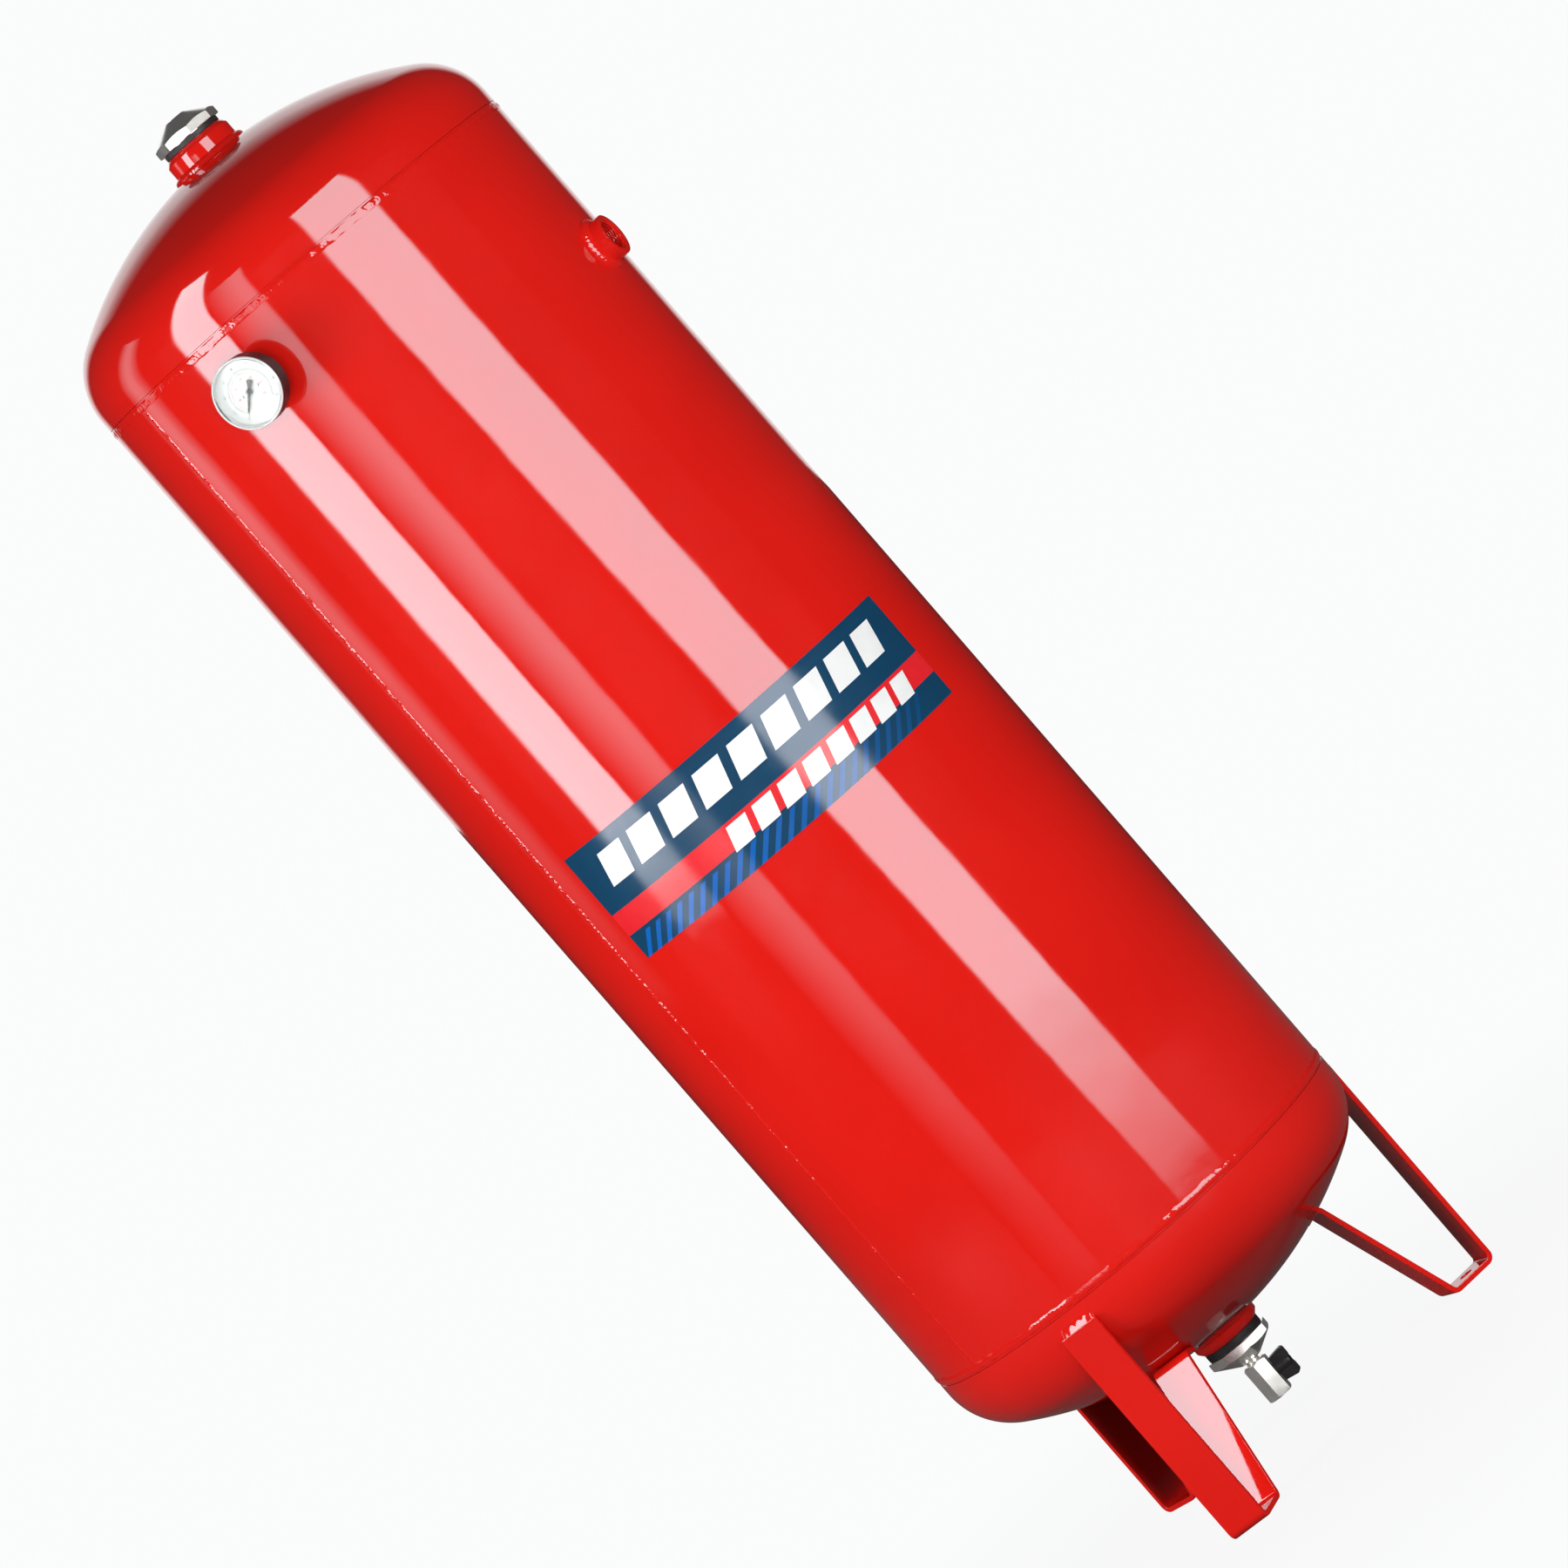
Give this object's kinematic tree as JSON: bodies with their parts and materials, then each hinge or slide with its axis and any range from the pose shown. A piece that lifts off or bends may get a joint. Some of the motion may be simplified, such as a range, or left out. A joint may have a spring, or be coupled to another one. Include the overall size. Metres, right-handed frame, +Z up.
{
  "type": "air receiver tank",
  "caption": "Upright welded steel compressed-air receiver on strap legs, with a pressure gauge, a side port, end bushes and a small ball valve as drain.",
  "frame": {"origin": "on the tank's axis at floor level, under the feet", "axes": "+Z up along the tank's axis; -Y is the front, midway between the gauge and the side port; +X to the right of the front"},
  "size_m": [0.4574, 0.4552, 1.5478],
  "materials": {
    "red_enamel": "gloss red enamel over welded steel",
    "nickel": "bright nickel plating on brass",
    "black_plastic": "moulded black plastic",
    "black_rubber": "black sealing rubber",
    "ptfe": "white PTFE",
    "brass": "machined brass",
    "bright_steel": "bright turned steel",
    "label_vinyl": "printed gloss vinyl, mostly navy",
    "dial_white": "white printed dial",
    "clear_plastic": "clear moulded window"
  },
  "bodies": {
    "receiver": {"shell": "red_enamel", "top_head": "red_enamel", "bottom_head": "red_enamel", "top_girth_weld": "red_enamel", "bottom_girth_weld": "red_enamel", "long_seam_weld": "red_enamel", "top_boss": "red_enamel", "top_boss_weld": "red_enamel", "bottom_boss": "red_enamel", "bottom_boss_weld": "red_enamel", "side_port_boss": "red_enamel", "side_port_boss_weld": "red_enamel", "gauge_boss": "red_enamel", "gauge_boss_weld": "red_enamel", "front_leg": "red_enamel", "front_leg_outer_weld": "red_enamel", "front_leg_inner_weld": "red_enamel", "right_leg": "red_enamel", "right_leg_outer_weld": "red_enamel", "right_leg_inner_weld": "red_enamel", "rear_leg": "red_enamel", "rear_leg_outer_weld": "red_enamel", "rear_leg_inner_weld": "red_enamel", "top_reducer": "nickel", "bottom_reducer": "nickel", "drain_valve_body": "nickel", "drain_valve_insert": "nickel", "top_reducer_seal": "black_rubber", "bottom_reducer_seal": "black_rubber", "drain_valve_upper_seat": "ptfe", "drain_valve_lower_seat": "ptfe", "gauge_seal": "ptfe", "gauge_dial_screw_left": "bright_steel", "gauge_dial_screw_right": "bright_steel", "gauge_socket": "brass", "gauge_movement_frame": "brass", "gauge_movement_front_plate": "brass", "gauge_bourdon_tube": "brass", "gauge_hairspring": "brass", "gauge_case": "black_plastic", "label": "label_vinyl", "gauge_window": "clear_plastic", "gauge_dial": "dial_white"},
    "drain_handle_group": {"drain_valve_handle": "black_plastic", "drain_valve_handle_screw": "bright_steel", "drain_valve_stem": "brass", "drain_valve_stem_seal": "black_rubber", "drain_valve_ball": "bright_steel"},
    "gauge_sector_group": {"gauge_sector": "brass"},
    "gauge_pointer_group": {"gauge_pinion": "brass", "gauge_pointer": "black_plastic"},
    "gauge_link_group": {"gauge_link": "bright_steel"}
  },
  "joints": [
    {"name": "drain_valve_turn", "type": "hinge", "parent": "receiver", "child": "drain_handle_group", "pos_m": [0, 0, 0.0615], "axis": [0.81, -0.5864, 0], "range_deg": [0, 90]},
    {"name": "gauge_sector_swing", "type": "hinge", "parent": "receiver", "child": "gauge_sector_group", "pos_m": [-0.17887, -0.17034, 1.301], "axis": [-0.7242, -0.6896, 0], "range_deg": [0, 45]},
    {"name": "gauge_pointer_turn", "type": "hinge", "parent": "receiver", "child": "gauge_pointer_group", "pos_m": [-0.17887, -0.17034, 1.315], "axis": [-0.7242, -0.6896, 0], "range_deg": [-270, 0]},
    {"name": "gauge_link_swing", "type": "hinge", "parent": "gauge_sector_group", "child": "gauge_link_group", "pos_m": [-0.17693, -0.17238, 1.29602], "axis": [-0.7242, -0.6896, 0], "range_deg": [-45, 0]}
  ],
  "couplings": [
    {"joint": "gauge_pointer_turn", "follows": "gauge_sector_swing", "ratio": -6},
    {"joint": "gauge_link_swing", "follows": "gauge_sector_swing", "ratio": -1}
  ]
}
